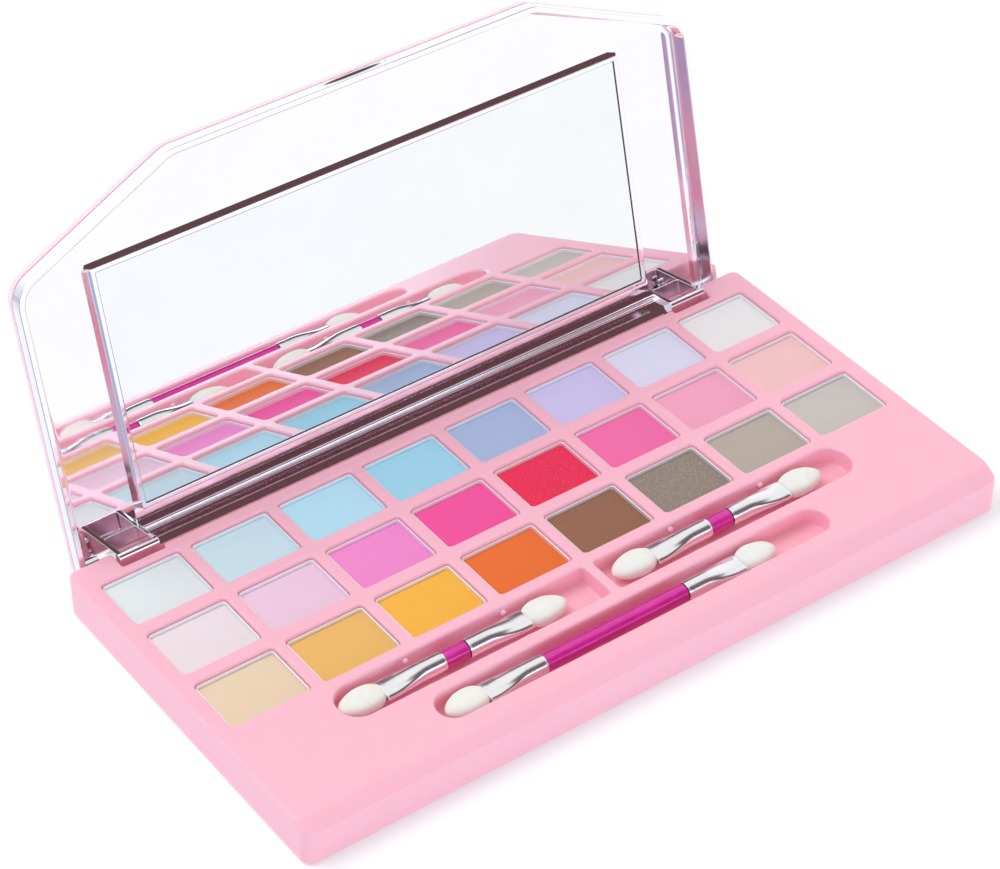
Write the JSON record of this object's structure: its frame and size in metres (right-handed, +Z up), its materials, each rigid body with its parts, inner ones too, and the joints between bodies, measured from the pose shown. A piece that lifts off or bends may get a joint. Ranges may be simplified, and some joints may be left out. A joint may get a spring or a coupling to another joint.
{
  "type": "eyeshadow palette",
  "caption": "Hinged make-up palette: pink casing with rows of square powder pans and applicator wells, double-ended sponge applicators, six-sided lid with a rectangular mirror.",
  "frame": {"origin": "centre of the underside of the casing", "axes": "+Z up, X along the lid's hinge, +Y towards the hinge, front edge towards -Y; the lid stands open at rest"},
  "size_m": [0.1812, 0.1172, 0.0894],
  "materials": {
    "pink_plastic": "moulded soft pink plastic, semi-gloss",
    "lid_pink": "moulded pale pink plastic, gloss",
    "chrome": "vacuum-metallised plastic with a faint pink tint, slightly wavy",
    "mirror": "silvered glass with a polished edge",
    "steel": "plain drawn steel",
    "pan_metal": "bright pressed metal, satin",
    "ferrule": "polished drawn aluminium, crimped flat at the tip end",
    "magenta_plastic": "moulded magenta plastic, gloss",
    "sponge": "off-white closed-cell foam, matt",
    "powder_mint_white": "pressed powder, soft satin",
    "powder_pale_blue": "pressed powder, soft satin",
    "powder_sky_blue": "pressed powder, soft satin",
    "powder_turquoise": "pressed powder, soft satin",
    "powder_periwinkle": "pressed powder with fine shimmer",
    "powder_lavender": "pressed powder, soft satin",
    "powder_light_lavender": "pressed powder, soft satin",
    "powder_silver_white": "pressed powder, soft satin",
    "powder_blush_white": "pressed powder, soft satin",
    "powder_lilac_pink": "pressed powder, soft satin",
    "powder_orchid": "pressed powder, soft satin",
    "powder_hot_pink": "pressed powder, soft satin",
    "powder_red": "pressed powder with fine shimmer",
    "powder_bright_pink": "pressed powder, soft satin",
    "powder_soft_pink": "pressed powder, soft satin",
    "powder_peach": "pressed powder, soft satin",
    "powder_beige": "pressed powder, soft satin",
    "powder_ochre": "pressed powder, soft satin",
    "powder_amber": "pressed powder, soft satin",
    "powder_orange": "pressed powder, soft satin",
    "powder_brown": "pressed powder, soft satin",
    "powder_dark_taupe": "pressed powder with coarse glitter",
    "powder_taupe": "pressed powder with fine shimmer",
    "powder_grey_beige": "pressed powder, soft satin"
  },
  "bodies": {
    "base": {"casing": "pink_plastic", "base_plate": "pink_plastic", "hinge_pin_left": "steel", "hinge_pin_right": "steel", "pan_strip_rear": "pan_metal", "pan_strip_middle": "pan_metal", "pan_strip_front": "pan_metal", "powder_mint_white": "powder_mint_white", "powder_pale_blue": "powder_pale_blue", "powder_sky_blue": "powder_sky_blue", "powder_turquoise": "powder_turquoise", "powder_periwinkle": "powder_periwinkle", "powder_lavender": "powder_lavender", "powder_light_lavender": "powder_light_lavender", "powder_silver_white": "powder_silver_white", "powder_blush_white": "powder_blush_white", "powder_lilac_pink": "powder_lilac_pink", "powder_orchid": "powder_orchid", "powder_hot_pink": "powder_hot_pink", "powder_red": "powder_red", "powder_bright_pink": "powder_bright_pink", "powder_soft_pink": "powder_soft_pink", "powder_peach": "powder_peach", "powder_beige": "powder_beige", "powder_ochre": "powder_ochre", "powder_amber": "powder_amber", "powder_orange": "powder_orange", "powder_brown": "powder_brown", "powder_dark_taupe": "powder_dark_taupe", "powder_taupe": "powder_taupe", "powder_grey_beige": "powder_grey_beige"},
    "lid": {"lid_cover": "lid_pink", "lid_liner": "chrome", "mirror": "mirror"},
    "applicator_short_left": {"handle_short_left": "magenta_plastic", "ferrule_short_left_left": "ferrule", "ferrule_short_left_right": "ferrule", "sponge_short_left_left": "sponge", "sponge_short_left_right": "sponge"},
    "applicator_short_right": {"handle_short_right": "magenta_plastic", "ferrule_short_right_left": "ferrule", "ferrule_short_right_right": "ferrule", "sponge_short_right_left": "sponge", "sponge_short_right_right": "sponge"},
    "applicator_long": {"handle_long": "magenta_plastic", "ferrule_long_left": "ferrule", "ferrule_long_right": "ferrule", "sponge_long_left": "sponge", "sponge_long_right": "sponge"}
  },
  "joints": [
    {"name": "lid_hinge", "type": "hinge", "parent": "base", "child": "lid", "pos_m": [0, 0.044, 0.0083], "axis": [1, 0, 0], "range_deg": [0, 103]},
    {"name": "lift_short_left", "type": "slide", "parent": "base", "child": "applicator_short_left", "axis": [0, 0, 1], "range_m": [0, 0.09]},
    {"name": "lift_short_right", "type": "slide", "parent": "base", "child": "applicator_short_right", "axis": [0, 0, 1], "range_m": [0, 0.09]},
    {"name": "lift_long", "type": "slide", "parent": "base", "child": "applicator_long", "axis": [0, 0, 1], "range_m": [0, 0.09]}
  ]
}
